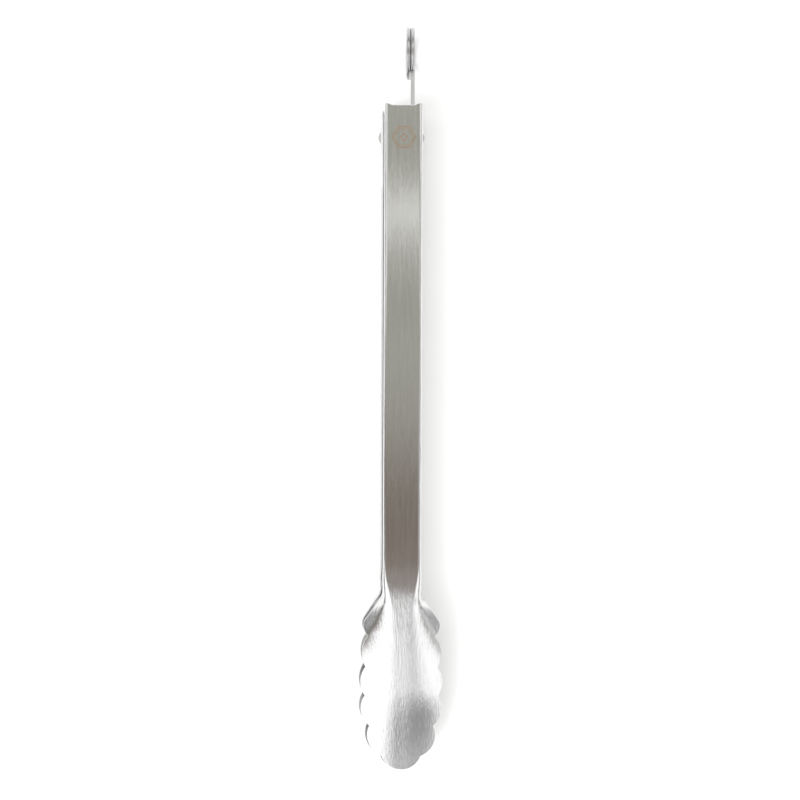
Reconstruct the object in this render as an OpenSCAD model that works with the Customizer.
// Spring loaded kitchen tongs with a pull ring lock, in millimetres.
//
// Two identical stamped channel arms lie face to face and are joined by one rivet. Each arm
// is set half a step to its own side, so that one of its side walls lies outside the other
// arm and one lies inside. A torsion spring pushes the arms open. A lock plate with a wire
// ring slides along the middle of the hinge and props the arms closed when it is pulled out.
//
// Row frame: +Y runs from the scalloped tips to the ring, +Z is up, and the lower arm lies
// on the plane Z = 0. The origin is under the middle of the tongs.

/* [Arms] */
// Length of one arm, from its tip to its hinge end
arm_l = 303.4; // [270:0.1:340]
// Outer width of the channel
arm_w = 17.4; // [16:0.1:20]
// Thickness of the steel sheet
sheet_t = 1.2; // [1:0.1:1.2]
// Outer height of the closed pair of arms
closed_h = 24; // [23.5:0.5:25]
// Gap between the edges of the two channels when closed
edge_gap = 1; // [0.6:0.1:2]
// Outer radius of the bend between the web and the side walls
bend_r = 1.8; // [1.6:0.1:2.2]

/* [Heads] */
// Radius of the scallop at the very tip
tip_r = 9.6; // [9.2:0.1:10]
// Gap left between the two tips when closed
tip_gap = 0.7; // [0.4:0.1:2]

/* [Hinge] */
// Distance from the rivet to the hinge end of the web
pivot_inset = 12.7; // [12.5:0.1:14]
// Diameter of the rivet's shank
rivet_d = 4; // [3.5:0.1:4.5]
// Side clearance between the interleaved side walls
side_clearance = 0.3; // [0.2:0.05:0.4]
// Angle between the arms when fully open
open_angle = 24; // [18:1:24]

/* [Spring] */
// Wire diameter of the torsion spring
spring_wire_d = 1.5; // [1.2:0.1:1.6]
// Full turns of the coil
spring_turns = 3; // [2:1:3]

/* [Lock] */
// Outer diameter of the pull ring
ring_od = 23.7; // [21:0.1:23.7]
// Wire diameter of the pull ring
ring_wire_d = 2; // [1.8:0.1:2]
// Travel of the lock from pulled out to pushed in
lock_travel = 8.5; // [8:0.5:8.5]
// Thickness of the lock plate
plate_t = 1.5; // [1:0.1:1.5]

/* [Hidden] */

steel = [0.80, 0.80, 0.79];
bright_steel = [0.86, 0.86, 0.86];
spring_steel = [0.62, 0.62, 0.62];

// Half the closed height: the rivet's axis lies on this level.
half_h = closed_h / 2;
// Each arm's sideways shift from the middle of the tongs.
arm_shift = (sheet_t + side_clearance) / 2;
// Height of the plain side walls above their own web.
wall_h = half_h - edge_gap / 2;
// Free height from the rivet's axis to the inside of a web.
clear_h = half_h - sheet_t;
// Free half width between the innermost side walls.
clear_w = arm_w / 2 - arm_shift - sheet_t;

// ---- the hinge, in arm stations: 0 at the tip, arm_l at the hinge end of the web
pivot_s = arm_l - pivot_inset;
// The side walls reach this far past the end of the web.
wall_overhang = 1;
// Where the pull ring's centre lies behind the rivet when pulled out.
ring_back = 38.9;
total_l = pivot_s + ring_back + ring_od / 2;
// Station of the row frame's origin.
mid_s = total_l / 2;
pivot_y = pivot_s - mid_s;

// ---- the ear that each side wall grows around the rivet
ear_top = 7.9;
ear_corner_r = 5;
ear_rear = 11.9;
ear_flat_front = -8;
ear_foot_front = -24;

// ---- the neck and head: stations where the loft's section is set
// Each row is [station, half width of the flat, bend radius, wall angle].
section_keys = [
    [-12, 2.0, 42, 28],
    [0, 2.0, 40, 30],
    [31, 2.0, 37.5, 32],
    [52, 2.2, 31, 34.5],
    [64, 2.6, 21.5, 38.3],
    [72, 3.3, 12.5, 42],
    [77, 4.2, 6.4, 52],
    [80.5, 5.1, 3.9, 84],
    [89, 6.4, 2.5, 89],
    [97.5, arm_w / 2 - bend_r, bend_r, 90],
    [106, arm_w / 2 - bend_r, bend_r, 90]
];
// Station where the loft meets the plain channel.
joint_s = 97.5;
// Station of the corner where the wall's edge turns outwards into the head.
corner_s = 80.1;
corner_wall_h = 7.4;
// Lengthwise shape of the head's spine: it leans inwards from lean_s on, and curls from curl_s on.
lean_s = 95.5;
lean_run = 16;
lean_slope = 0.079;
curl_s = 38;
tip_rise = half_h - tip_gap / 2 - sheet_t;
curl_rise = tip_rise - lean_slope * (lean_s - lean_run / 2);

// Cusps between the scallops as [half width, station], from the tip to the neck.
cusps = [[9.0, 6.6], [14.8, 20.9], [16.9, 34.9], [16.6, 48.2], [15.4, 62.3]];
// How far each side scallop bulges from the straight line between its cusps.
bulges = [3.4, 2.85, 2.15, 2.2];
// The last tooth rounds off here and then runs straight to the corner.
last_tooth = [16.9, 69.5];
last_bulge = 1.4;
scallop_steps = 6;

// ---------------------------------------------------------------- functions

function mix(a, b, k) = a + (b - a) * k;
function smooth(k) = let (c = min(max(k, 0), 1)) c * c * (3 - 2 * c);

// Slope of column c at key i, from its neighbours.
function key_slope(i, c) =
    (section_keys[i + 1][c] - section_keys[i - 1][c]) / (section_keys[i + 1][0] - section_keys[i - 1][0]);

// Smooth value of column c of the section keys at station s.
function section_at(s, c, i = 1) =
    s >= joint_s ? section_keys[len(section_keys) - 1][c] :
    s > section_keys[i + 1][0] && i < len(section_keys) - 3 ? section_at(s, c, i + 1) :
    let (
        a = section_keys[i],
        b = section_keys[i + 1],
        run = b[0] - a[0],
        k = (s - a[0]) / run
    )
    (2 * k ^ 3 - 3 * k ^ 2 + 1) * a[c] + (k ^ 3 - 2 * k ^ 2 + k) * run * key_slope(i, c) +
    (3 * k ^ 2 - 2 * k ^ 3) * b[c] + (k ^ 3 - k ^ 2) * run * key_slope(i + 1, c);

// How far the spine has moved inwards at station s.
function spine_rise(s) =
    let (
        k = min(max((lean_s - s) / lean_run, 0), 1),
        bent = lean_slope * lean_run * k ^ 2 / 2,
        straight = lean_slope * max(lean_s - lean_run - s, 0),
        curled = curl_rise * (max(curl_s - s, 0) / curl_s) ^ 2
    )
    bent + straight + curled;

// Points on the arc from p to q that bulges outwards by b, without p itself.
function arc_points(p, q, b, n) =
    let (
        chord = norm(q - p),
        along = (q - p) / chord,
        out = [along[1], -along[0]],
        r = (chord ^ 2 / 4 + b ^ 2) / (2 * b),
        centre = (p + q) / 2 + out * (b - r),
        half = asin(chord / 2 / r)
    )
    [for (i = [1 : n]) let (w = mix(-half, half, i / n)) centre + r * (along * sin(w) + out * cos(w))];

// Right half of the head's outline as [half width, station], from the tip to the corner.
tip_half_angle = asin(cusps[0][0] / tip_r);
tip_points = [for (i = [0 : scallop_steps])
    let (w = mix(6, tip_half_angle, i / scallop_steps))
    [tip_r * sin(w), tip_r * (1 - cos(w)) * cusps[0][1] / (tip_r * (1 - cos(tip_half_angle)))]];
side_points = [for (i = [0 : len(bulges) - 1]) each arc_points(cusps[i], cusps[i + 1], bulges[i], scallop_steps)];
tooth_points = arc_points(cusps[4], last_tooth, last_bulge, 4);
corner_w = section_half_width(corner_s, corner_wall_h);
diagonal_points = [for (k = [0.25, 0.48, 0.68, 0.85, 1]) mix(last_tooth, [corner_w, corner_s], k)];
outline = concat(tip_points, side_points, tooth_points, diagonal_points);
neck_stations = [82, 84, 86, 89, 93, joint_s];

// Half width of the section at station s where its wall is h high.
function section_half_width(s, h) =
    let (a = section_at(s, 1), r = section_at(s, 2), w = section_at(s, 3))
    a + r * sin(w) + (h - r * (1 - cos(w))) / tan(w);

// Length along the section from its middle to the edge, where the half width is given.
function reach_of_width(s, half_w) =
    let (a = section_at(s, 1), r = section_at(s, 2), w = section_at(s, 3))
    half_w < a ? half_w :
    half_w < a + r * sin(w) ? a + r * asin((half_w - a) / r) * PI / 180 :
    a + r * w * PI / 180 + (half_w - a - r * sin(w)) / cos(w);

// The same, where the height of the wall is given.
function reach_of_height(s, h) =
    let (a = section_at(s, 1), r = section_at(s, 2), w = section_at(s, 3))
    a + r * w * PI / 180 + (h - r * (1 - cos(w))) / sin(w);

// Point at length l along the section, moved inwards by depth: [x, z].
function section_point(s, l, depth) =
    let (
        a = section_at(s, 1),
        r = section_at(s, 2),
        w = section_at(s, 3),
        turn = min(max((l - a) / r * 180 / PI, 0), w),
        past = max(l - a - r * w * PI / 180, 0)
    )
    [
        min(l, a) + (r - depth) * sin(turn) + past * cos(turn),
        r - (r - depth) * cos(turn) + past * sin(turn)
    ];

// Lengths along the half section at station s, for an edge at the given reach.
function section_lengths(s, reach) =
    let (
        a = section_at(s, 1),
        bend_end = a + section_at(s, 2) * section_at(s, 3) * PI / 180,
        k = smooth((joint_s - s) / 24),
        first = mix(a, 0.33 * reach, k),
        second = mix(bend_end, 0.62 * reach, k)
    )
    concat(
        [for (i = [0 : 1]) first * i / 2],
        [for (i = [0 : 3]) mix(first, second, i / 4)],
        [for (i = [0 : 3]) mix(second, reach, i / 3)]
    );

// One row of the loft, left edge to right edge, at a depth below the outer face.
function loft_row(s, reach, depth) =
    let (
        half = [for (l = section_lengths(s, reach)) section_point(s, l, depth)],
        n = len(half)
    )
    [
        for (i = [n - 1 : -1 : 1]) [-half[i][0], s, half[i][1] + spine_rise(s)],
        for (p = half) [p[0], s, p[1] + spine_rise(s)]
    ];

// Height of the side walls behind the neck, as [distance behind the rivet, height above the web].
ear_steps = 8;
wall_rear = pivot_inset + wall_overhang;
rear_h = 5;
ear_profile = concat(
    [[ear_foot_front - 60, wall_h], [ear_foot_front, wall_h]],
    [[(ear_foot_front + ear_flat_front) / 2, half_h + ear_top * 0.62]],
    [[ear_flat_front - 2, half_h + ear_top * 0.97], [ear_flat_front + 2, half_h + ear_top]],
    [[0, half_h + ear_top]],
    [for (i = [0 : ear_steps])
        let (w = 90 - 70 * i / ear_steps)
        [
            ear_rear - ear_corner_r + ear_corner_r * cos(w),
            half_h + ear_top - ear_corner_r + ear_corner_r * sin(w)
        ]],
    [[wall_rear, rear_h]]
);

loft_stations = concat(
    [for (p = outline) [p[1], reach_of_width(p[1], p[0])]],
    [for (s = neck_stations)
        [s, reach_of_height(s, mix(corner_wall_h, wall_h, smooth((s - corner_s) / 12)))]],
    [for (p = ear_profile) [pivot_s + p[0], reach_of_height(joint_s, p[1])]]
);

// ---------------------------------------------------------------- shapes

// Solid between two grids of points with the same rows: the outer and the inner face of a sheet.
module sheet_solid(outer, inner) {
    rows = len(outer);
    cols = len(outer[0]);
    m = rows * cols;
    function at(i, j) = i * cols + j;
    points = [for (row = outer) each row, for (row = inner) each row];
    faces = [
        for (i = [0 : rows - 2], j = [0 : cols - 2]) each [
            [at(i, j), at(i + 1, j), at(i + 1, j + 1)],
            [at(i, j), at(i + 1, j + 1), at(i, j + 1)],
            [m + at(i, j), m + at(i + 1, j + 1), m + at(i + 1, j)],
            [m + at(i, j), m + at(i, j + 1), m + at(i + 1, j + 1)]
        ],
        for (i = [0 : rows - 2]) each [
            [at(i, 0), m + at(i, 0), m + at(i + 1, 0)],
            [at(i, 0), m + at(i + 1, 0), at(i + 1, 0)],
            [at(i, cols - 1), m + at(i + 1, cols - 1), m + at(i, cols - 1)],
            [at(i, cols - 1), at(i + 1, cols - 1), m + at(i + 1, cols - 1)]
        ],
        for (j = [0 : cols - 2]) each [
            [at(0, j), at(0, j + 1), m + at(0, j + 1)],
            [at(0, j), m + at(0, j + 1), m + at(0, j)],
            [at(rows - 1, j), m + at(rows - 1, j + 1), at(rows - 1, j + 1)],
            [at(rows - 1, j), m + at(rows - 1, j), m + at(rows - 1, j + 1)]
        ]
    ];
    polyhedron(points, faces, convexity = 6);
}

// The whole stamping before the holes: scalloped head, neck, channel and ears.
module arm_shell() {
    sheet_solid(
        [for (row = loft_stations) loft_row(row[0], row[1], 0)],
        [for (row = loft_stations) loft_row(row[0], row[1], sheet_t)]
    );
}

// The web ends a little short of the side walls.
module web_end_cut() {
    flat = arm_w - 2 * bend_r;
    translate([-flat / 2, arm_l, -1]) cube([flat, wall_overhang + 1, sheet_t + 2]);
}

// One arm in its own frame: web on Z = 0, opening up, station 0 at the tip.
module arm() {
    difference() {
        arm_shell();
        translate([0, pivot_s, half_h]) rotate([0, 90, 0])
            cylinder(d = rivet_d + 0.1, h = arm_w + 2, center = true, $fn = 48);
        web_end_cut();
    }
}

module lower_arm() {
    color(steel) translate([-arm_shift, -mid_s, 0]) arm();
}

module upper_arm() {
    color(steel) translate([arm_shift, -mid_s, closed_h]) rotate([0, 180, 0]) arm();
}

// Spreads a side view, drawn as [along Y, up Z], over the width w and centres it on X = 0.
module across(w) {
    rotate([90, 0, 90]) linear_extrude(w, center = true) children();
}

// Places children in the hinge's frame: origin on the rivet's axis, +Y towards the ring.
module at_pivot() {
    translate([0, pivot_y, half_h]) children();
}

// Domed head of a rivet: a disc with a spherical cap, standing on X = 0 and growing along +X.
module rivet_head(d, h) {
    cap_r = (d ^ 2 / 4 + h ^ 2) / (2 * h);
    rotate([0, 90, 0]) rotate_extrude($fn = 64) intersection() {
        translate([0, h - cap_r]) circle(cap_r, $fn = 96);
        square([d / 2, h]);
    }
}

module pivot_rivet() {
    outer_face = arm_w / 2 + arm_shift + 0.03;
    color(bright_steel) at_pivot() {
        rotate([0, 90, 0]) cylinder(d = rivet_d, h = 2 * outer_face + 0.2, center = true, $fn = 48);
        translate([outer_face, 0, 0]) rivet_head(5, 0.9);
        translate([-outer_face, 0, 0]) rotate([0, 180, 0]) rivet_head(5.9, 1.3);
    }
}

// ---- bush and spring
bush_d = 5.4;
bush_l = 2 * clear_w - 0.2;

module spacer_bush() {
    color(steel) at_pivot() rotate([0, 90, 0]) difference() {
        cylinder(d = bush_d, h = bush_l, center = true, $fn = 48);
        cylinder(d = rivet_d + 0.1, h = bush_l + 1, center = true, $fn = 48);
    }
}

coil_r = bush_d / 2 + 0.4 + spring_wire_d / 2;
coil_pitch = spring_wire_d + 0.06;
coil_left = -clear_w + 0.3 + spring_wire_d / 2;
leg_end = [-23, -(clear_h - spring_wire_d / 2 - 0.1)];

// Tube of diameter d along a list of points: a ring of sides at each point, closed at both ends.
module wire(path, d, sides) {
    n = len(path);
    function dir(i) =
        let (v = path[min(i + 1, n - 1)] - path[max(i - 1, 0)]) v / norm(v);
    // A side vector that stays as close to the last one as it can.
    function frames(i, last) =
        i == n ? [] :
        let (
            t = dir(i),
            u0 = last - t * (last * t),
            u = u0 / norm(u0)
        )
        concat([[u, cross(t, u)]], frames(i + 1, u));
    t0 = dir(0);
    start = abs(t0[0]) < 0.9 ? [1, 0, 0] : [0, 0, 1];
    f = frames(0, start);
    points = [for (i = [0 : n - 1], j = [0 : sides - 1])
        let (w = j * 360 / sides) path[i] + d / 2 * (f[i][0] * cos(w) + f[i][1] * sin(w))];
    faces = [
        [for (j = [0 : sides - 1]) j],
        [for (j = [sides - 1 : -1 : 0]) (n - 1) * sides + j],
        for (i = [0 : n - 2], j = [0 : sides - 1])
            let (a = i * sides + j, b = i * sides + (j + 1) % sides)
            each [[a, a + sides, b + sides], [a, b + sides, b]]
    ];
    polyhedron(points, faces, convexity = 8);
}

// Angle on the coil, in the YZ plane from +Y towards +Z, where a leg to point p leaves it.
function tangent_angle(p, side) = atan2(p[1], p[0]) + side * acos(coil_r / norm(p));

// Centreline of the spring: lower leg, coil, upper leg. The legs lie one spring width apart.
spring_start = tangent_angle(leg_end, 1);
spring_finish = -spring_start;
coil_turn = 360 * spring_turns + ((spring_finish - spring_start) % 360 + 360) % 360;
coil_steps = 16 * spring_turns + 8;
coil_width = coil_pitch * coil_turn / 360;
spring_path = concat(
    [for (k = [0, 0.5, 0.97]) mix(
        [coil_left, leg_end[0], leg_end[1]],
        [coil_left, coil_r * cos(spring_start), coil_r * sin(spring_start)], k)],
    [for (i = [0 : coil_steps])
        let (k = i / coil_steps, w = spring_start + coil_turn * k)
        [coil_left + coil_width * k, coil_r * cos(w), coil_r * sin(w)]],
    [for (k = [0.03, 0.5, 1]) mix(
        [coil_left + coil_width, coil_r * cos(spring_finish), coil_r * sin(spring_finish)],
        [coil_left + coil_width, leg_end[0], -leg_end[1]], k)]
);

module torsion_spring() {
    color(spring_steel) at_pivot() wire(spring_path, spring_wire_d, 10);
}

// ---- lock
plate_x = 2;
slot_r = bush_d / 2 + 0.1;
hook = [8.4, 7.6];
hook_hole_d = ring_wire_d + 0.2;
plate_front = -6;
plate_rear = lock_travel + slot_r + 2;
bar_h = 6;
prop_front = 4.8;
prop_rear = 11;

// Height of the prop's edge: relieved so that it clears the webs while they close on it.
function prop_height(y) =
    let (lift = open_angle / 2 * PI / 180)
    clear_h - 0.12 - (lift * y / 2) ^ 2 / (lift * lock_travel + clear_h * lift ^ 2 / 2);

// Upper half of the plate's outline, from its front end to its rear end.
plate_corner = 2;
upper_edge = concat(
    [[plate_front, bar_h - plate_corner], [plate_front + plate_corner, bar_h]],
    [[prop_front - 0.6, bar_h], [prop_front, bar_h + 0.6], [prop_front, prop_height(prop_front) - 0.8]],
    [for (k = [0 : 0.25 : 1]) let (y = mix(prop_front + 0.8, prop_rear - 0.8, k)) [y, prop_height(y)]],
    [[prop_rear, prop_height(prop_rear) - 0.8], [prop_rear, bar_h]],
    [[plate_rear - plate_corner, bar_h], [plate_rear, bar_h - plate_corner]]
);

module plate_outline() {
    difference() {
        polygon(concat(
            upper_edge,
            [for (i = [len(upper_edge) - 1 : -1 : 0]) [upper_edge[i][0], -upper_edge[i][1]]]
        ));
        translate([0, -slot_r]) square([lock_travel, 2 * slot_r]);
        for (y = [0, lock_travel]) translate([y, 0]) circle(slot_r, $fn = 48);
        translate(hook) circle(d = hook_hole_d, $fn = 32);
    }
}

module lock_plate() {
    color(steel) at_pivot() translate([plate_x + plate_t / 2, 0, 0]) across(plate_t) plate_outline();
}

// Centreline of the pull ring: hook through the plate, leg, and nearly two turns of ring.
ring_r = (ring_od - ring_wire_d) / 2;
ring_pitch = ring_wire_d + 0.05;
leg_x = plate_x + plate_t + 0.35 + ring_wire_d / 2;
leg_end_ring = [ring_back - 8.7, 5.4];
ring_join = 137;
ring_turns = 1.7;
ring_steps = 68;
// Sideways step of the ring, in pitches, after t turns: the second turn lies beside the first.
function ring_step(t) = smooth((t - (ring_turns - 1)) / 0.2);
ring_path = concat(
    [[plate_x - 1.2, hook[0], hook[1]], [leg_x - 0.9, hook[0], hook[1]]],
    [[leg_x - 0.25, hook[0] + 0.25, hook[1]], [leg_x, hook[0] + 0.95, hook[1] - 0.1]],
    [[leg_x, leg_end_ring[0] - 3.2, leg_end_ring[1] + 0.4], [leg_x, leg_end_ring[0] - 1.4, leg_end_ring[1] + 0.4]],
    [for (i = [0 : ring_steps])
        let (
            k = i / ring_steps,
            w = ring_join - 360 * ring_turns * k
        )
        [leg_x - ring_pitch * ring_step(ring_turns * k), ring_back + ring_r * cos(w), ring_r * sin(w)]]
);

module pull_ring() {
    color(bright_steel) at_pivot() wire(ring_path, ring_wire_d, 12);
}

lower_arm();
upper_arm();
pivot_rivet();
spacer_bush();
torsion_spring();
lock_plate();
pull_ring();
